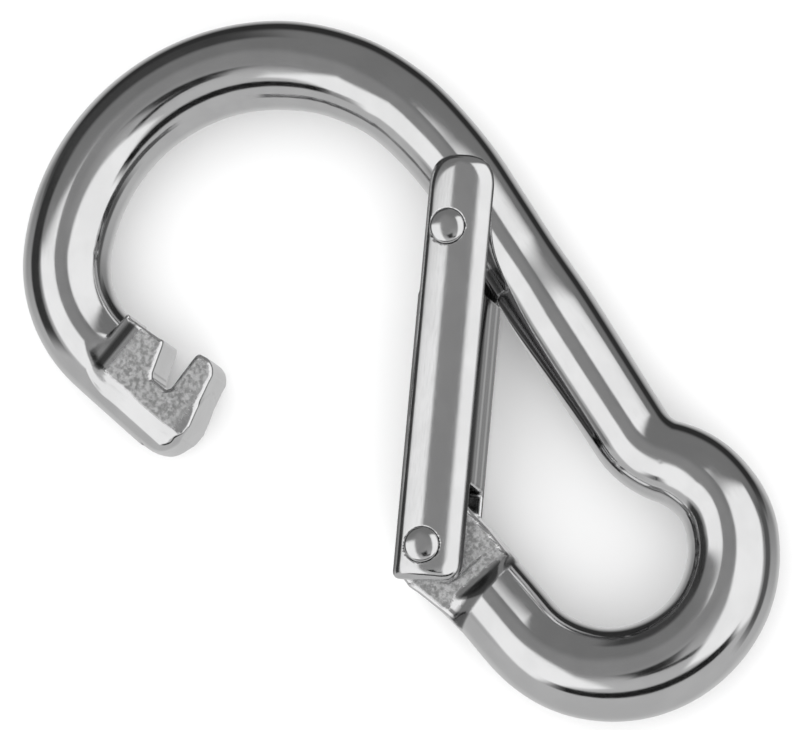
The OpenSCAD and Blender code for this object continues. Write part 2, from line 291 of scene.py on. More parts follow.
def outline_distance(x, y, points):
    """Signed distance to a closed outline, negative inside."""
    nearest = np.full(x.shape, 1e9)
    inside = np.zeros(x.shape, bool)
    for a, b in zip(points, points[1:] + points[:1]):
        ex, ey = b[0] - a[0], b[1] - a[1]
        wx, wy = x - a[0], y - a[1]
        t = np.clip((wx * ex + wy * ey) / (ex * ex + ey * ey), 0, 1)
        nearest = np.minimum(nearest, (wx - t * ex) ** 2 + (wy - t * ey) ** 2)
        if ey:
            crosses = (a[1] > y) != (b[1] > y)
            inside ^= crosses & (x < a[0] + wy * ex / ey)
    return np.where(inside, -1, 1) * np.sqrt(nearest)


def line(start, end):
    """A straight part of the path."""
    return {"start": start, "end": end, "length": float(np.linalg.norm(end - start))}


def arc(centre, r, a0, a1):
    """A part of the path on a circle, from the angle a0 to a1."""
    return {"centre": centre, "r": r, "a0": a0, "a1": a1, "length": r * math.radians(abs(a1 - a0))}


PATH = [
    line(TONGUE_END, TONGUE_TOP),
    arc(EYE_C, EYE_R, TONGUE_DEG, EYE_END_DEG),
    arc(EYE2_C, EYE2_R, EYE_END_DEG, 360 + KINK_DEG),
    arc(KINK_C, KINK_R, 180 + KINK_DEG, 90 - SPINE_DEG),
    line(SPINE_FOOT, SPINE_TOP),
    arc(BLEND_C, BLEND_R, -90 - SPINE_DEG, BOW_START_DEG),
    arc(BOW_C, BOW_R, BOW_START_DEG, NOSE_START_DEG),
    arc(NOSE_C, NOSE_R, NOSE_START_DEG, NOSE_END_DEG),
    line(NOSE_END, NOSE_END + CLAW_L * unit(CLAW_DEG)),
]
STARTS = np.concatenate([[0], np.cumsum([part["length"] for part in PATH])])

# Bar diameter along the path: (stretch, share of its length, diameter)
THICKNESS = [
    (0, 0, 10.0), (0, 1, 10.1), (1, 0.25, 10.5), (1, 0.5, EYE_D), (1, 0.8, 10.6), (2, 0.05, 10.3),
    (2, 0.6, 9.7), (3, 0.5, 9.3), (4, 0, 9.35), (4, 0.48, 9.7), (4, 0.74, 9.2), (5, 0.5, 9.25),
    (6, 0.05, 9.45), (6, 0.18, 9.85), (6, 0.34, BOW_D), (6, 0.85, BOW_D), (7, 0.1, 10.05), (7, 1, 9.95),
    (8, 1, 9.9),
]
KNOT_S = np.array([STARTS[i] + share * PATH[i]["length"] for i, share, _ in THICKNESS])
KNOT_R = np.array([d / 2 for _, _, d in THICKNESS])


def bar_radius(s):
    """Bar radius at the distance s along the path, easing from knot to knot."""
    i = np.clip(np.searchsorted(KNOT_S, s) - 1, 0, len(KNOT_S) - 2)
    t = np.clip((s - KNOT_S[i]) / (KNOT_S[i + 1] - KNOT_S[i]), 0, 1)
    t = ease(t, 0, 1)
    return KNOT_R[i] * (1 - t) + KNOT_R[i + 1] * t


def on_path(p):
    """For each point: its distance to the bar's surface, how far along the path it is, and how far
    it lies to the side of the path in the plane of the hook."""
    x, y, z = p.T
    best = np.full(len(p), 1e9)
    along = np.zeros(len(p))
    aside = np.zeros(len(p))
    for part, start in zip(PATH, STARTS):
        if "r" in part:
            lo, hi = sorted((part["a0"], part["a1"]))
            dx, dy = x - part["centre"][0], y - part["centre"][1]
            mid = (lo + hi) / 2
            a = np.degrees(np.arctan2(dy, dx))
            a = np.clip((a - mid + 180) % 360 - 180 + mid, lo, hi)
            rad = np.radians(a)
            flat = np.hypot(dx - part["r"] * np.cos(rad), dy - part["r"] * np.sin(rad))
            s = start + np.radians(np.abs(a - part["a0"])) * part["r"]
            turn = 1 if part["a1"] > part["a0"] else -1
            side = turn * (np.hypot(dx, dy) - part["r"])
        else:
            ux, uy = (part["end"] - part["start"]) / part["length"]
            dx, dy = x - part["start"][0], y - part["start"][1]
            t = np.clip(dx * ux + dy * uy, 0, part["length"])
            flat = np.hypot(dx - t * ux, dy - t * uy)
            s = start + t
            side = dx * uy - dy * ux
        d = np.hypot(flat, z) - bar_radius(s)
        closer = d < best
        best = np.where(closer, d, best)
        along = np.where(closer, s, along)
        aside = np.where(closer, side, aside)
    return best, along, aside


def shoulder_height(t, slope, k):
    """Half thickness under a shoulder: flat beyond its foot (t > 0), rising before it."""
    return smooth_max(np.full(t.shape, FLAT_Z), FLAT_Z - t * slope, k)


def tongue_distance(p, bar):
    """The bar joined to the plate round the hinge, and both cut down to the tongue's flats."""
    x, y, z = p.T
    plan = disc(x, y, HINGE, BOSS_R)
    plan = smooth_min(plan, disc(x, y, TONGUE_CORNER, TONGUE_CORNER_R), PLATE_JOIN_SOFT)
    plan = smooth_min(plan, disc(x, y, CAM_C, CAM_R), PLATE_JOIN_SOFT)
    plan = smooth_min(plan, outline_distance(x, y, TONGUE_OUTLINE), PLATE_FILL_SOFT)
    plate = smooth_max(plan, np.abs(z) - FLAT_Z, PLATE_EDGE_SOFT)
    ux, uy = unit(TONGUE_DEG - 90)
    past_end = (x - TONGUE_END[0]) * ux + (y - TONGUE_END[1]) * uy
    past_foot = (x - TONGUE_FOOT[0]) * ux + (y - TONGUE_FOOT[1]) * uy
    height = shoulder_height(past_foot, TONGUE_SLOPE, TONGUE_FOOT_SOFT)
    whole = smooth_min(smooth_max(bar, past_end, TONGUE_END_SOFT), plate, TONGUE_JOIN_SOFT)
    above = (np.abs(z) - height) / math.hypot(1, SLOPE_SHARE * TONGUE_SLOPE)
    whole = smooth_max(whole, above, TONGUE_FACE_SOFT)
    hole = disc(x, y, HINGE, HINGE_HOLE_R)
    return smooth_max(whole, -hole, HOLE_SOFT)


def claw_distance(p, bar):
    """The flattened nose: round on its outer side, square-edged inside, with a finger and a notch."""
    x, y, z = p.T
    axis_y = NOSE_END[1] + (x - NOSE_END[0]) * math.tan(math.radians(CLAW_DEG))
    section = np.hypot(np.maximum(y - axis_y, 0), z) - CLAW_BAR_R
    plan = outline_distance(x, y, CLAW_OUTLINE)
    plan = smooth_min(plan, disc(x, y, CLAW_CORNER, CLAW_CORNER_R), CLAW_CORNER_SOFT)
    plan = smooth_min(plan, disc(x, y, FINGER_TIP, FINGER_TIP_R), FINGER_SOFT)
    beyond = x - CLAW_FOOT_X
    block = smooth_max(plan, beyond - BLOCK_PAST_FOOT, BLOCK_END_SOFT)
    block = smooth_max(section, block, CLAW_SIDE_SOFT)
    barrel = np.cbrt(np.maximum(BARREL_X - x, 0) ** 3 + np.abs(z) ** 3) - BARREL_R
    block = smooth_max(block, barrel, BARREL_SOFT)
    cut_bar = smooth_max(bar, smooth_min(plan, BAR_CUT_FROM - beyond, 0.1), BAR_CUT_SOFT)
    whole = smooth_min(np.where(beyond < BAR_CUT_TO, cut_bar, bar), block, BLOCK_JOIN_SOFT)
    height = shoulder_height(-beyond, CLAW_SLOPE, CLAW_FOOT_SOFT)
    rounding = FACE_SOFT_MIN + FACE_SOFT_MORE * ease(y - axis_y, 0.6, 2.2) * ease(beyond, 1.8, -2.4)
    whole = smooth_max(whole, (np.abs(z) - height) / math.hypot(1, SLOPE_SHARE * CLAW_SLOPE), rounding)
    gap = outline_distance(x - LATCH_SHUT[0], y - LATCH_SHUT[1], NOTCH)
    return smooth_max(whole, -gap, NOTCH_SOFT)


def hook_distance(p):
    """The bar with its tongue, its claw and the latch rivet's seat."""
    d = on_path(p)[0]
    x, y = p[:, 0], p[:, 1]
    for (low, high), from_y, shape in (
        (TONGUE_X, TONGUE_FROM_Y, tongue_distance),
        (CLAW_X, CLAW_FROM_Y, claw_distance),
    ):
        region = (x > low) & (x < high) & (y > from_y)
        d[region] = shape(p[region], d[region])
    seat_c = LATCH + (LATCH_PIN_R + SEAT_GAP - SEAT_R) * SPINE_OUT
    d = np.maximum(d, y - BODY_HI[1])
    near_seat = np.hypot(x - LATCH[0], y - LATCH[1]) < SEAT_REACH
    seat = disc(x[near_seat], y[near_seat], seat_c, SEAT_R)
    d[near_seat] = smooth_max(d[near_seat], -seat, SEAT_SOFT)
    return d


def gate_axes(p):
    """The gate's own u, v and z for points in the part's frame."""
    ux, uy = unit(GATE_DEG)
    dx, dy = p[:, 0] - HINGE[0], p[:, 1] - HINGE[1]
    return dx * ux + dy * uy, dy * ux - dx * uy, p[:, 2]


def gate_solid(u, v, z):
    """The gate before its slots, bore and rivet holes are cut: a bar with crowned faces."""
    az = np.abs(z)
    half = (GATE_BACK + GATE_FRONT) / 2
    dv = v - GATE_MID_V
    side = np.abs(dv) - half
    tip = smooth_max(side, u - GATE_TIP, TIP_CORNER_R)
    heel = smooth_max(side, GATE_HEEL - u, np.where(dv < 0, HEEL_INNER_R, HEEL_OUTER_R))
    plan = np.where(u > GATE_TIP / 2, tip, heel)
    crown_r = (half**2 + CROWN_DROP**2) / (2 * CROWN_DROP)
    crown = np.hypot(dv, az - GATE_W / 2 + crown_r) - crown_r
    return smooth_max(plan, crown, LONG_EDGE_R)


def gate_distance(p):
    """The gate with its two slots, its bore, and a well and a hole for each rivet."""
    u, v, z = gate_axes(p)
    az = np.abs(z)
    d = gate_solid(u, v, z)
    flare = FLARE * np.clip((u - GATE_TIP + FLARE_L) / FLARE_L, 0, 1.5) ** 2
    nose = smooth_max(az - NOSE_SLOT_Z - flare, NOSE_SLOT_U - u, SLOT_CORNER_R)
    heel_slot = smooth_max(az - HINGE_SLOT_Z, u - HINGE_SLOT_U, SLOT_CORNER_R)
    bore = np.maximum(np.hypot(v - GATE_MID_V, z) - BORE_R, u - BORE_END_U)
    bore = np.maximum(bore, HINGE_SLOT_U - 2 - u)
    for cut in (nose, heel_slot, bore):
        d = smooth_max(d, -cut, SLOT_EDGE_R)
    for centre, r in ((HINGE, HINGE_PIN_R), (LATCH, LATCH_PIN_R)):
        well = np.maximum(disc(p[:, 0], p[:, 1], centre, HEAD_D / 2 + WELL_FIT), WELL_Z - az)
        shank = disc(p[:, 0], p[:, 1], centre, r + PIN_FIT)
        d = smooth_max(d, -well, WELL_SOFT)
        d = np.maximum(d, -shank)
    return d


# ---- Meshing ----

# Samples along each side of a block of the grid, and how far from a block's centre a surface still
# counts as near, in block sides
BLOCK = 6
BLOCK_REACH = 1.1
# How the marks on a mesh are made: how far from a spot its bend is measured, the bend where an
# edge (painted highlight) or a hollow (painted shade) starts to show, and how much more bend shows it in full
BEND_REACH = 0.22
EDGE_FROM, EDGE_RUN = 0.6, 2.2
HOLLOW_FROM, HOLLOW_RUN = 0.3, 2.0


def grid_points(axes):
    return np.stack(np.meshgrid(*axes, indexing="ij"), -1).reshape(-1, 3)


def sample(shape, lo, hi, step):
    """Distances on a grid from lo to hi, worked out in full only in the blocks near the surface."""
    blocks = np.ceil((hi - lo) / (step * BLOCK)).astype(int)
    centres = [lo[i] + step * (BLOCK * (np.arange(blocks[i]) + 0.5) - 0.5) for i in range(3)]
    coarse = shape(grid_points(centres)).reshape(blocks)
    reach = step * BLOCK * BLOCK_REACH
    values = np.clip(coarse, -reach, reach)
    for axis in range(3):
        values = np.repeat(values, BLOCK, axis)
    near = np.argwhere(np.abs(coarse) < reach)
    inner = grid_points([np.arange(BLOCK)] * 3)
    index = (near[:, None] * BLOCK + inner[None]).reshape(-1, 3)
    values[tuple(index.T)] = shape(lo + step * index)
    return values


def untangled(values):
    """The values with no grid face whose corners alternate in sign, where a surface touches itself."""
    for axis in [0, 1, 2] * 3:
        v = np.moveaxis(values, axis, 0)
        inside = v < 0
        i, j = inside[:, :-1, :-1], inside[:, 1:, :-1]
        alternate = (i == inside[:, 1:, 1:]) & (j == inside[:, :-1, 1:]) & (i != j)
        for a, b, c in np.argwhere(alternate):
            corners = [(a, b, c), (a, b + 1, c), (a, b, c + 1), (a, b + 1, c + 1)]
            least = min(corners, key=lambda corner: abs(v[corner]))
            v[least] = -v[least] - 1e-9
    return values


def surface_net(values, lo, step):
    """Vertices and quads of the surface where the values pass zero, one vertex in each crossed cell."""
    inside = values < 0
    cells = tuple(n - 1 for n in values.shape)
    total = np.zeros(cells + (3,))
    count = np.zeros(cells)
    for axis in range(3):
        low = np.moveaxis(values, axis, 0)[:-1]
        high = np.moveaxis(values, axis, 0)[1:]
        crossed = (low < 0) != (high < 0)
        share = np.moveaxis(np.where(crossed, low / np.where(crossed, low - high, 1), 0), 0, axis)
        crossed = np.moveaxis(crossed, 0, axis)
        others = [a for a in range(3) if a != axis]
        for i in (0, 1):
            for j in (0, 1):
                window = [slice(None)] * 3
                window[others[0]] = slice(i, cells[others[0]] + i)
                window[others[1]] = slice(j, cells[others[1]] + j)
                hit = crossed[tuple(window)]
                count += hit
                total[..., axis] += share[tuple(window)]
                total[..., others[0]] += i * hit
                total[..., others[1]] += j * hit
    active = count > 0
    where = np.argwhere(active)
    vertices = lo + step * (where + total[active] / count[active][:, None])
    number = np.full(cells, -1)
    number[active] = np.arange(len(where))
    quads = []
    for axis in range(3):
        a, b = (axis + 1) % 3, (axis + 2) % 3
        low = np.moveaxis(inside, axis, 0)[:-1]
        high = np.moveaxis(inside, axis, 0)[1:]
        for sign in (True, False):
            hit = np.moveaxis((low == sign) & (high != sign), 0, axis)
            at = np.argwhere(hit)
            at = at[(at[:, a] > 0) & (at[:, b] > 0) & (at[:, a] < cells[a]) & (at[:, b] < cells[b])]
            ring = []
            for da, db in ((1, 1), (0, 1), (0, 0), (1, 0)):
                cell = at.copy()
                cell[:, a] -= da
                cell[:, b] -= db
                ring.append(number[tuple(cell.T)])
            ring = np.stack(ring, 1)
            quads.append(ring if sign else ring[:, ::-1])
    return vertices, np.concatenate(quads)


def slope_of(shape, p, e=0.01):
    steps = np.eye(3) * e
    return np.stack([(shape(p + s) - shape(p - s)) / (2 * e) for s in steps], 1)


def settle(shape, p, rounds=2):
    """Moves points onto the surface."""
    for _ in range(rounds):
        g = slope_of(shape, p)
        p = p - g * (shape(p) / np.maximum((g * g).sum(1), 0.2))[:, None]
    return p


def neighbour_mean(p, quads):
    pairs = np.concatenate([quads[:, [i, (i + 1) % 4]] for i in range(4)])
    pairs = np.concatenate([pairs, pairs[:, ::-1]])
    count = np.bincount(pairs[:, 0], minlength=len(p))
    sums = [np.bincount(pairs[:, 0], p[pairs[:, 1], i], len(p)) for i in range(3)]
    return np.stack(sums, 1) / count[:, None]


def carved(name, shape, lo, hi, step, flow, satin, shade_mask):
    """A mesh piece of the shape's surface. It carries what the materials read: its flow
    coordinates, how sharp or hollow each spot is, which sets where a highlight and shade are painted,
    and where the finish is satin."""
    margin = 3 * step
    lo, hi = np.array(lo) - margin, np.array(hi) + margin
    p, quads = surface_net(untangled(sample(shape, lo, hi, step)), lo, step)
    p = settle(shape, p)
    for _ in range(2):
        p = settle(shape, 0.4 * p + 0.6 * neighbour_mean(p, quads))
    normals = slope_of(shape, p)
    normals /= np.linalg.norm(normals, axis=1)[:, None]
    around = np.concatenate([np.eye(3), -np.eye(3)]) * BEND_REACH
    bend = sum(shape(p + offset) for offset in around) / (BEND_REACH * BEND_REACH)
    piece = mesh_piece(name, p, quads.tolist(), normals)
    values = {
        # Painted highlight: lighter on the sharp convex edges
        "painted_highlight": np.clip((bend - EDGE_FROM) / EDGE_RUN, 0, 1),
        # Painted shade: darker in concave bends and where the piece's shade function marks shoulders, slots and
        # sides
        "painted_shade": np.maximum(np.clip((-bend - HOLLOW_FROM) / HOLLOW_RUN, 0, 1), shade_mask(p, normals)),
        "satin": satin(p, normals),
    }
    for key, value in values.items():
        mark = piece.data.attributes.new(key, "FLOAT", "POINT")
        mark.data.foreach_set("value", value.astype(np.float32))
    mark = piece.data.attributes.new("flow", "FLOAT_VECTOR", "POINT")
    mark.data.foreach_set("vector", flow(p).astype(np.float32).ravel())
    return piece


def mesh_piece(name, points, faces, normals=None):
    """An object from points in millimetres."""
    mesh = bpy.data.meshes.new(name)
    mesh.from_pydata((np.asarray(points) * MM).tolist(), [], faces)
    mesh.polygons.foreach_set("use_smooth", [True] * len(mesh.polygons))
    mesh.update()
    if normals is not None:
        mesh.normals_split_custom_set_from_vertices(normals.tolist())
    piece = bpy.data.objects.new(name, mesh)
    bpy.context.scene.collection.objects.link(piece)
    return piece


# ---- The bar and the gate ----

STEP_BODY = 0.3
STEP_GATE = 0.22
# The claw's and the tongue's finish is looked for above these heights
CLAW_FINISH_Y = 10.0
TONGUE_FINISH_Y = 5.0


def bar_flow(p):
    """Distance along the bar, to its side and across it. It runs on past both ends of the path."""
    _, along, aside = on_path(p)
    past_tongue = (p[:, :2] - TONGUE_END) @ unit(TONGUE_DEG - 90)
    past_claw = (p[:, :2] - PATH[-1]["end"]) @ unit(CLAW_DEG)
    along = along - np.where(along <= 0, np.maximum(past_tongue, 0), 0)
    along = along + np.where(along >= STARTS[-1], np.maximum(past_claw, 0), 0)
    return np.stack([along, aside, p[:, 2]], 1)


def bar_satin(p, normals):
    """The flat faces of the claw and the tongue keep the texture of the casting."""
    x, y = p[:, 0], p[:, 1]
    face = ease(np.abs(normals[:, 2]), 0.975, 0.993)
    claw = ease(CLAW_FOOT_X - x, -0.4, 0.6) * (y > CLAW_FINISH_Y) * ease(x, 46.6, 49.5)
    ux, uy = unit(TONGUE_DEG - 90)
    past_foot = (x - TONGUE_FOOT[0]) * ux + (y - TONGUE_FOOT[1]) * uy
    tongue = ease(past_foot, -0.2, 0.5) * (y > TONGUE_FINISH_Y) * (x < TONGUE_X[1])
    return face * np.maximum(claw, tongue)


def bar_painted_shade(p, normals):
    """Painted shade on the shoulders behind the claw and the tongue and on the plate's edge wall,
    where they face away from the light, with less of it in a band across the claw's shoulder.
    The finish there is rougher too.
    """
    x, y, z = p.T
    beyond = x - CLAW_FOOT_X
    above_ramp = np.abs(z) - shoulder_height(-beyond, CLAW_SLOPE, CLAW_FOOT_SOFT)
    on_ramp = ease(above_ramp, -0.15, -0.05)
    claw = on_ramp * ease(beyond, 0, 0.4) * ease(beyond, 4.2, 3.6) * (y > CLAW_FINISH_Y)
    claw *= 1 - 0.7 * ease(np.abs(beyond - 1.5), 0.6, 0.2)
    ux, uy = unit(TONGUE_DEG - 90)
    before = -(x - TONGUE_FOOT[0]) * ux - (y - TONGUE_FOOT[1]) * uy
    above_ramp = np.abs(z) - shoulder_height(-before, TONGUE_SLOPE, TONGUE_FOOT_SOFT)
    on_ramp = ease(above_ramp, -0.15, -0.05)
    tongue = on_ramp * ease(before, -0.1, 0.2) * ease(before, 1.5, 1.2)
    tongue = tongue * (y > TONGUE_FINISH_Y) * (x < TONGUE_X[1])
    step = ease(np.abs(x - PLATE_X), 0.8, 0.5) * ease(np.abs(z), 1.2, 2.2) * (y > TONGUE_FINISH_Y)
    return np.maximum(claw, np.maximum(tongue, 0.9 * step))


def gate_flow(p):
    """The gate's own axes: its polishing lines run along it."""
    return np.stack(gate_axes(p), 1)


def gate_satin(p, normals):
    """No face of the gate keeps the texture of the casting."""
    return np.zeros(len(p))


def gate_painted_shade(p, normals):
    """Painted shade where the surface lies inside the uncut bar (the slots and the bore) and on the
    long narrow sides, with less of it in a band on each side of a side's middle. The finish there is
    rougher too.
    """
    u, v, z = gate_axes(p)
    ux, uy = unit(GATE_DEG)
    across = np.abs(normals[:, 1] * ux - normals[:, 0] * uy)
    # Lighter bands on each long side, where less shade is painted
    web = ease(np.abs(z), 1.0, 1.5) * ease(np.abs(z), 2.6, 2.1)
    side = ease(across, 0.7, 0.9) * (1 - 0.35 * web)
    return np.maximum(side, ease(-gate_solid(u, v, z), 0.3, 0.8))


hook = carved("hook_bar", hook_distance, BODY_LO, BODY_HI, STEP_BODY, bar_flow, bar_satin, bar_painted_shade)
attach(hook, "hook")
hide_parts("hook_body")
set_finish(hook, "hook_steel")

gate = carved("gate_bar", gate_distance, GATE_LO, GATE_HI, STEP_GATE, gate_flow, gate_satin, gate_painted_shade)
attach(gate, "gate")
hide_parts("gate")
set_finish(gate, "gate_steel")


# ---- Rivets (the plunger and the spring keep their CAD shapes) ----


def lathe(name, profile, centre, sides=96):
    """A piece turned about an upright axis: profile is (height, radius), from the lower end up."""
    turn = np.linspace(0, 2 * math.pi, sides, endpoint=False)
    ring = np.stack([-np.sin(turn), np.cos(turn), 0 * turn], 1)
    centre = np.array([centre[0], centre[1], 0])
    up = np.array([0, 0, 1])
    points = [centre + up * profile[0][0]]
    for h, r in profile[1:-1]:
        points.extend(centre + up * h + ring * r)
    points.append(centre + up * profile[-1][0])
    last = len(points) - 1
    rows = len(profile) - 2
    faces = [(0, 1 + (i + 1) % sides, 1 + i) for i in range(sides)]
    for row in range(rows - 1):
        a, b = 1 + row * sides, 1 + (row + 1) * sides
        faces += [(a + i, a + (i + 1) % sides, b + (i + 1) % sides, b + i) for i in range(sides)]
    top = 1 + (rows - 1) * sides
    faces += [(top + i, top + (i + 1) % sides, last) for i in range(sides)]
    return mesh_piece(name, points, faces)


# A rivet head's rounded rim and its height above the well's floor, and the rows and shape of its dome
RIM_R = 0.12
RIM_H = 0.42
DOME_ROWS = 14
DOME_FLATNESS = 0.8


def rivet(name, centre, pin_r):
    """A shank with a domed head at each end, a little flattened by the peening tool."""
    rim = WELL_Z + RIM_H
    head = []
    for a in np.linspace(0, 1, DOME_ROWS):
        r = HEAD_D / 2 * math.cos(a * math.pi / 2)
        dome = (HEAD_TOP - rim) * math.sin(a * math.pi / 2) ** DOME_FLATNESS
        head.append((rim + dome, r))
    side = [(WELL_Z, pin_r), (WELL_Z, HEAD_D / 2 - RIM_R), (WELL_Z + RIM_R, HEAD_D / 2)] + head
    side[-1] = (side[-1][0], 0)
    lower = [(-h, r) for h, r in side[::-1]]
    return lathe(name, lower + side, centre)


for name, node, centre, pin_r in (
    ("hinge_rivet_turned", "hinge_rivet", HINGE, HINGE_PIN_R),
    ("latch_rivet_turned", "latch_rivet", LATCH, LATCH_PIN_R),
):
    piece = rivet(name, centre, pin_r)
    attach(piece, "gate")
    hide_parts(node)
    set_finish(piece, "rivet_steel")


# ---- Materials ----

# Sizes of the noises, in turns per millimetre, and how far the polishing lines are drawn out
LINE_SCALE = 5.0
LINE_STRETCH = (0.12, 1.0, 1.0)
CLOUD_SCALE = 0.22
SPECKLE_SCALE = 1.7
GRIT_SCALE = 7.0
# Grey levels, and how much of them the edges and hollows take: a painted highlight on the edges,
# painted shade in the hollows
CAST_TONES = (0.42, 0.82)
EDGE_HIGHLIGHT_TONE, EDGE_HIGHLIGHT_SHARE = 0.9, 0.55
HOLLOW_SHADE_TONE, HOLLOW_SHADE_SHARE = 0.04, 0.92
# Roughness added by the cast faces, edges and hollows
SATIN_ROUGH, EDGE_ROUGH, HOLLOW_ROUGH = 0.38, 0.07, 0.12
# Height of the polishing lines and of the cast grain, in millimetres
LINE_RELIEF = 0.0012
CAST_RELIEF = 0.1
GRIT_SHARE = 0.4


def add(tree, kind, inputs=None, **settings):
    """A node with its settings and inputs. An input that is a socket is linked."""
    made = tree.nodes.new(kind)
    for key, value in settings.items():
        setattr(made, key, value)
    for key, value in (inputs or {}).items():
        if isinstance(value, bpy.types.NodeSocket):
            tree.links.new(value, made.inputs[key])
        else:
            made.inputs[key].default_value = value
    return made


def math_node(tree, operation, a, b=0.0):
    return add(tree, "ShaderNodeMath", {0: a, 1: b}, operation=operation).outputs[0]


def dot_product(tree, a, b):
    return add(tree, "ShaderNodeVectorMath", {0: a, 1: b}, operation="DOT_PRODUCT").outputs["Value"]


def scaled(tree, value, low, high, to_low, to_high):
    """Maps value from low..high onto to_low..to_high, smoothly and within those limits."""
    inputs = {"Value": value, "From Min": low, "From Max": high, "To Min": to_low, "To Max": to_high}
    return add(tree, "ShaderNodeMapRange", inputs, interpolation_type="SMOOTHSTEP").outputs["Result"]


def noise(tree, vector, scale, detail=3.0, roughness=0.55):
    inputs = {"Vector": vector, "Scale": scale, "Detail": detail, "Roughness": roughness}
    return add(tree, "ShaderNodeTexNoise", inputs).outputs["Fac"]


def attribute(tree, name, output="Fac"):
    return add(tree, "ShaderNodeAttribute", attribute_name=name).outputs[output]


def mixed(tree, share, a, b):
    """Mixes two grey levels or colours."""
    made = add(tree, "ShaderNodeMix", {0: share}, data_type="RGBA")
    for index, value in ((6, a), (7, b)):
        if isinstance(value, bpy.types.NodeSocket):
            tree.links.new(value, made.inputs[index])
        else:
            made.inputs[index].default_value = (value, value, value * 1.004, 1)
    return made.outputs[2]


def steel(name, tone=0.8, gloss=0.085, carved_piece=True):
    """Polished stainless steel. Fine polishing lines run along the flow, the sharp edges get a painted
    highlight, the hollows, slots and shoulders get painted shade, both marks also add roughness, and
    the satin faces are finely grained like a casting."""
    material = bpy.data.materials.new(name)
    material.use_nodes = True
    tree = material.node_tree
    shader = tree.nodes["Principled BSDF"]
    place = add(tree, "ShaderNodeTexCoord").outputs["Object"]
    if carved_piece:
        flow = attribute(tree, "flow", "Vector")
    else:
        flow = add(tree, "ShaderNodeVectorMath", {0: place, "Scale": 1 / MM}, operation="SCALE").outputs[0]
    lines = add(tree, "ShaderNodeMapping", {"Vector": flow, "Scale": LINE_STRETCH}).outputs[0]
    streaks = noise(tree, lines, LINE_SCALE, 4.0, 0.65)
    clouds = noise(tree, flow, CLOUD_SCALE, 2.0)
    speckle = noise(tree, flow, SPECKLE_SCALE, 4.0, 0.65)
    grit = noise(tree, flow, GRIT_SCALE, 2.0, 0.5)

    base = mixed(tree, scaled(tree, clouds, 0.35, 0.65, 0, 1), tone * 0.95, tone)
    base = mixed(tree, scaled(tree, streaks, 0.55, 0.8, 0, 0.3), base, tone * 0.86)
    rough = scaled(tree, streaks, 0.3, 0.75, gloss * 0.8, gloss * 1.6)
    bumps = math_node(tree, "MULTIPLY", streaks, LINE_RELIEF)
    if carved_piece:
        satin, painted_highlight, painted_shade = (attribute(tree, key) for key in ("satin", "painted_highlight", "painted_shade"))
        grain = mixed(tree, scaled(tree, speckle, 0.36, 0.64, 0, 1), *CAST_TONES)
        base = mixed(tree, satin, base, grain)
        # Painted highlight: lighter on the sharp edges
        base = mixed(tree, math_node(tree, "MULTIPLY", painted_highlight, EDGE_HIGHLIGHT_SHARE), base, EDGE_HIGHLIGHT_TONE)
        # Painted shade: near black in the hollows, slots and shoulders
        base = mixed(tree, math_node(tree, "MULTIPLY", painted_shade, HOLLOW_SHADE_SHARE), base, HOLLOW_SHADE_TONE)
        for mark, extra in ((satin, SATIN_ROUGH), (painted_highlight, EDGE_ROUGH), (painted_shade, HOLLOW_ROUGH)):
            rough = math_node(tree, "ADD", rough, math_node(tree, "MULTIPLY", mark, extra))
        relief = math_node(tree, "ADD", speckle, math_node(tree, "MULTIPLY", grit, GRIT_SHARE))
        relief = math_node(tree, "MULTIPLY", math_node(tree, "MULTIPLY", relief, satin), CAST_RELIEF)
        bumps = math_node(tree, "ADD", bumps, relief)
    bump = add(tree, "ShaderNodeBump", {"Height": bumps, "Strength": 1.0, "Distance": MM})
    for key, value in (("Base Color", base), ("Roughness", rough), ("Normal", bump.outputs[0])):
        tree.links.new(value, shader.inputs[key])
    shader.inputs["Metallic"].default_value = 1.0
    return material


MATERIALS = {
    "hook_steel": steel("polished_bar"),
    "gate_steel": steel("polished_gate", 0.8, 0.1),
    "rivet_steel": steel("polished_rivet", 0.78, 0.1, carved_piece=False),
    "plunger_steel": steel("turned_plunger", 0.6, 0.2, carved_piece=False),
    "spring_wire": steel("drawn_wire", 0.5, 0.25, carved_piece=False),
}


def dress(piece, slot):
    piece.data.materials.clear()
    piece.data.materials.append(MATERIALS[slot])


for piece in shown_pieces():
    if "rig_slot" in piece:
        dress(piece, piece["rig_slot"])
for node, slot in (("plunger", "plunger_steel"), ("gate_spring", "spring_wire")):
    dress(frame["nodes"][node], slot)


# ---- Studio ----

# The camera's turn about the hook's upright axis, and how far it leans off that axis
TURN_DEG = 141.434
LEAN_RIGHT_DEG = 11.0
LEAN_DOWN_DEG = 8.5
LENS_MM = 400
VIEW_WIDTH = 91.0 * MM
AIM_SHIFT = np.array([2.2, 0.9, 0]) * MM
# Plain light of the background, and the greys that the steel mirrors below and above the camera
PLAIN_LEVEL = 1.45
LEVEL_BELOW, LEVEL_ABOVE = 0.5, 0.19
FLOOR_HALF = 3.0
FLOOR_GREY = 0.93
# The key light: azimuth and angle from the camera, distance and size in metres, watts
KEY_TOWARD = (300, 35)
KEY_DISTANCE = 0.9
KEY_SIZE = 0.5
KEY_WATTS = 1.2

flat_right = np.array([*unit(-TURN_DEG), 0])
flat_up = np.array([-flat_right[1], flat_right[0], 0])
back = math.tan(math.radians(LEAN_RIGHT_DEG)) * flat_right - math.tan(math.radians(LEAN_DOWN_DEG)) * flat_up
back = (back + [0, 0, 1]) / np.linalg.norm(back + [0, 0, 1])
view_right = flat_right - (flat_right @ back) * back
view_right /= np.linalg.norm(view_right)
view_up = np.cross(back, view_right)


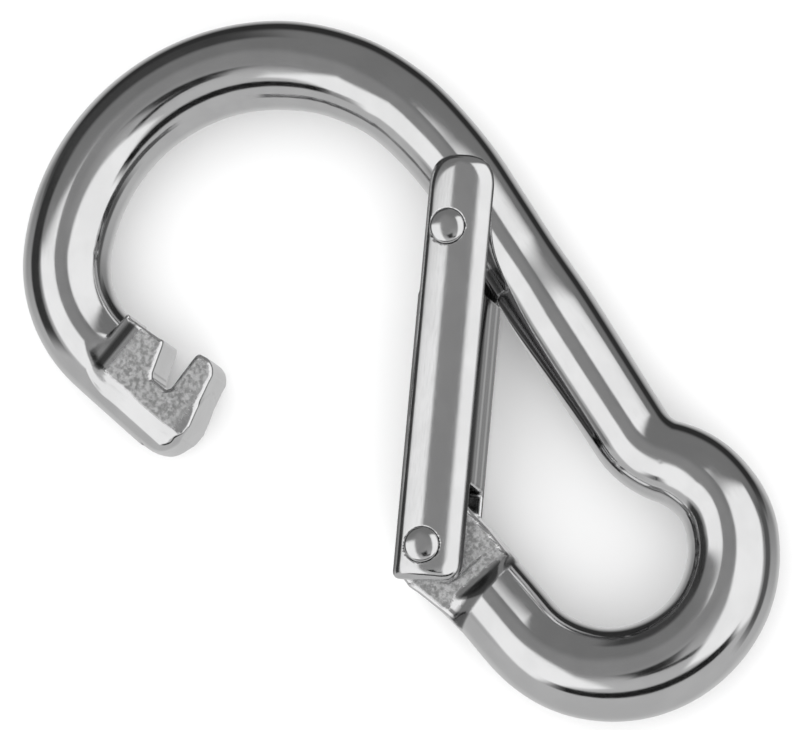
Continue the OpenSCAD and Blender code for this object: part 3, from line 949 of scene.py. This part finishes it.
def placed(x_axis, y_axis, z_axis, origin):
    """The matrix of an object with these axes and origin."""
    matrix = mathutils.Matrix.Identity(4)
    for i, column in enumerate((x_axis, y_axis, z_axis, origin)):
        for j in range(3):
            matrix[j][i] = column[j]
    return matrix


def make_camera():
    camera = bpy.data.cameras.new("camera")
    camera.lens = LENS_MM
    camera.clip_start, camera.clip_end = 0.01, 10
    holder = bpy.data.objects.new("camera", camera)
    bpy.context.scene.collection.objects.link(holder)
    middle = (np.array(CAD_LO) + np.array(CAD_HI)) / 2 + AIM_SHIFT
    middle[2] = 0
    place = middle + back * VIEW_WIDTH * LENS_MM / camera.sensor_width
    holder.matrix_world = placed(view_right, view_up, back, place)
    bpy.context.scene.camera = holder


def toward(azimuth, angle):
    """A direction seen from the object: angle from the camera, azimuth round it from the right."""
    a, b = math.radians(azimuth), math.radians(angle)
    side = math.cos(a) * view_right + math.sin(a) * view_up
    return math.cos(b) * back + math.sin(b) * side


# Soft boxes and dark gaps of the studio: azimuth, angle from the camera, half size along the
# azimuth's ray and across it (degrees), softness of the edge, brightness
PANELS = [
    (90, 122, 16, 60, 0.5, 0.03),
    (128, 96, 16, 26, 0.4, 0.05),
    (270, 178, 35, 40, 0.6, 0.6),
    (174, 92, 15, 26, 0.3, 0.035),
    (0, 94, 9, 32, 0.4, 0.1),
    (148, 30, 14, 20, 0.5, 0.26),
    (192, 49, 21, 28, 0.14, 1.0),
    (12, 43, 35, 40, 0.12, 1.0),
    (277, 51, 8, 44, 0.25, 0.008),
    (262, 14, 2.6, 11, 0.4, 0.01),
    (205, 13, 6, 7, 0.4, 0.015),
]


def panel_mask(tree, ray, azimuth, angle, half_in, half_across, softness):
    """1 where the ray meets the panel, 0 outside it."""
    centre = toward(azimuth, angle)
    inward = toward(azimuth, angle + 90)
    across = np.cross(centre, inward)
    ahead = math_node(tree, "MAXIMUM", dot_product(tree, ray, centre), 0.001)
    reach = []
    for direction, half in ((inward, half_in), (across, half_across)):
        off = math_node(tree, "DIVIDE", dot_product(tree, ray, direction), ahead)
        off = math_node(tree, "ABSOLUTE", off)
        reach.append(math_node(tree, "DIVIDE", off, math.tan(math.radians(half))))
    out = math_node(tree, "MAXIMUM", *reach)
    return scaled(tree, out, 1 - softness, 1 + softness, 1, 0)


def make_world():
    """Pale and even to the eye and on the floor. What the steel mirrors is a plain studio: soft
    boxes at the sides, greys above and below, and the dark gaps between them."""
    world = bpy.data.worlds.new("studio")
    bpy.context.scene.world = world
    world.use_nodes = True
    tree = world.node_tree
    ray = add(tree, "ShaderNodeTexCoord").outputs["Generated"]
    level = scaled(tree, dot_product(tree, ray, view_up), -0.5, 0.6, LEVEL_BELOW, LEVEL_ABOVE)
    for azimuth, angle, half_in, half_across, softness, brightness in PANELS:
        mask = panel_mask(tree, ray, azimuth, angle, half_in, half_across, softness)
        level = add(tree, "ShaderNodeMix", {0: mask, 2: level, 3: brightness}, data_type="FLOAT").outputs[0]
    path = add(tree, "ShaderNodeLightPath")
    studio = path.outputs["Is Glossy Ray"]
    level = add(tree, "ShaderNodeMix", {0: studio, 2: PLAIN_LEVEL, 3: level}, data_type="FLOAT").outputs[0]
    tree.links.new(level, tree.nodes["Background"].inputs["Color"])


def make_floor():
    """A pale matt floor under the hook. The steel does not mirror it."""
    half = FLOOR_HALF / MM
    z = CAD_LO[2] / MM
    corners = [(x * half, y * half, z) for x, y in ((-1, -1), (1, -1), (1, 1), (-1, 1))]
    floor = mesh_piece("floor", corners, [(0, 1, 2, 3)])
    material = bpy.data.materials.new("pale_floor")
    material.use_nodes = True
    shader = material.node_tree.nodes["Principled BSDF"]
    shader.inputs["Base Color"].default_value = (FLOOR_GREY, FLOOR_GREY, FLOOR_GREY, 1)
    shader.inputs["Roughness"].default_value = 0.9
    shader.inputs["Specular IOR Level"].default_value = 0.0
    floor.data.materials.append(material)
    floor.visible_glossy = False


def make_key_light():
    """A large soft light that the steel does not mirror."""
    light = bpy.data.lights.new("key", "AREA")
    light.size = KEY_SIZE
    light.energy = KEY_WATTS
    holder = bpy.data.objects.new("key", light)
    bpy.context.scene.collection.objects.link(holder)
    away = toward(*KEY_TOWARD)
    across = np.cross((0, 0, 1), away)
    across /= np.linalg.norm(across)
    middle = (np.array(CAD_LO) + np.array(CAD_HI)) / 2
    place = middle + away * KEY_DISTANCE
    holder.matrix_world = placed(across, np.cross(away, across), away, place)
    holder.visible_glossy = False


make_camera()
make_world()
make_floor()
make_key_light()
bpy.context.scene.view_settings.view_transform = "Standard"
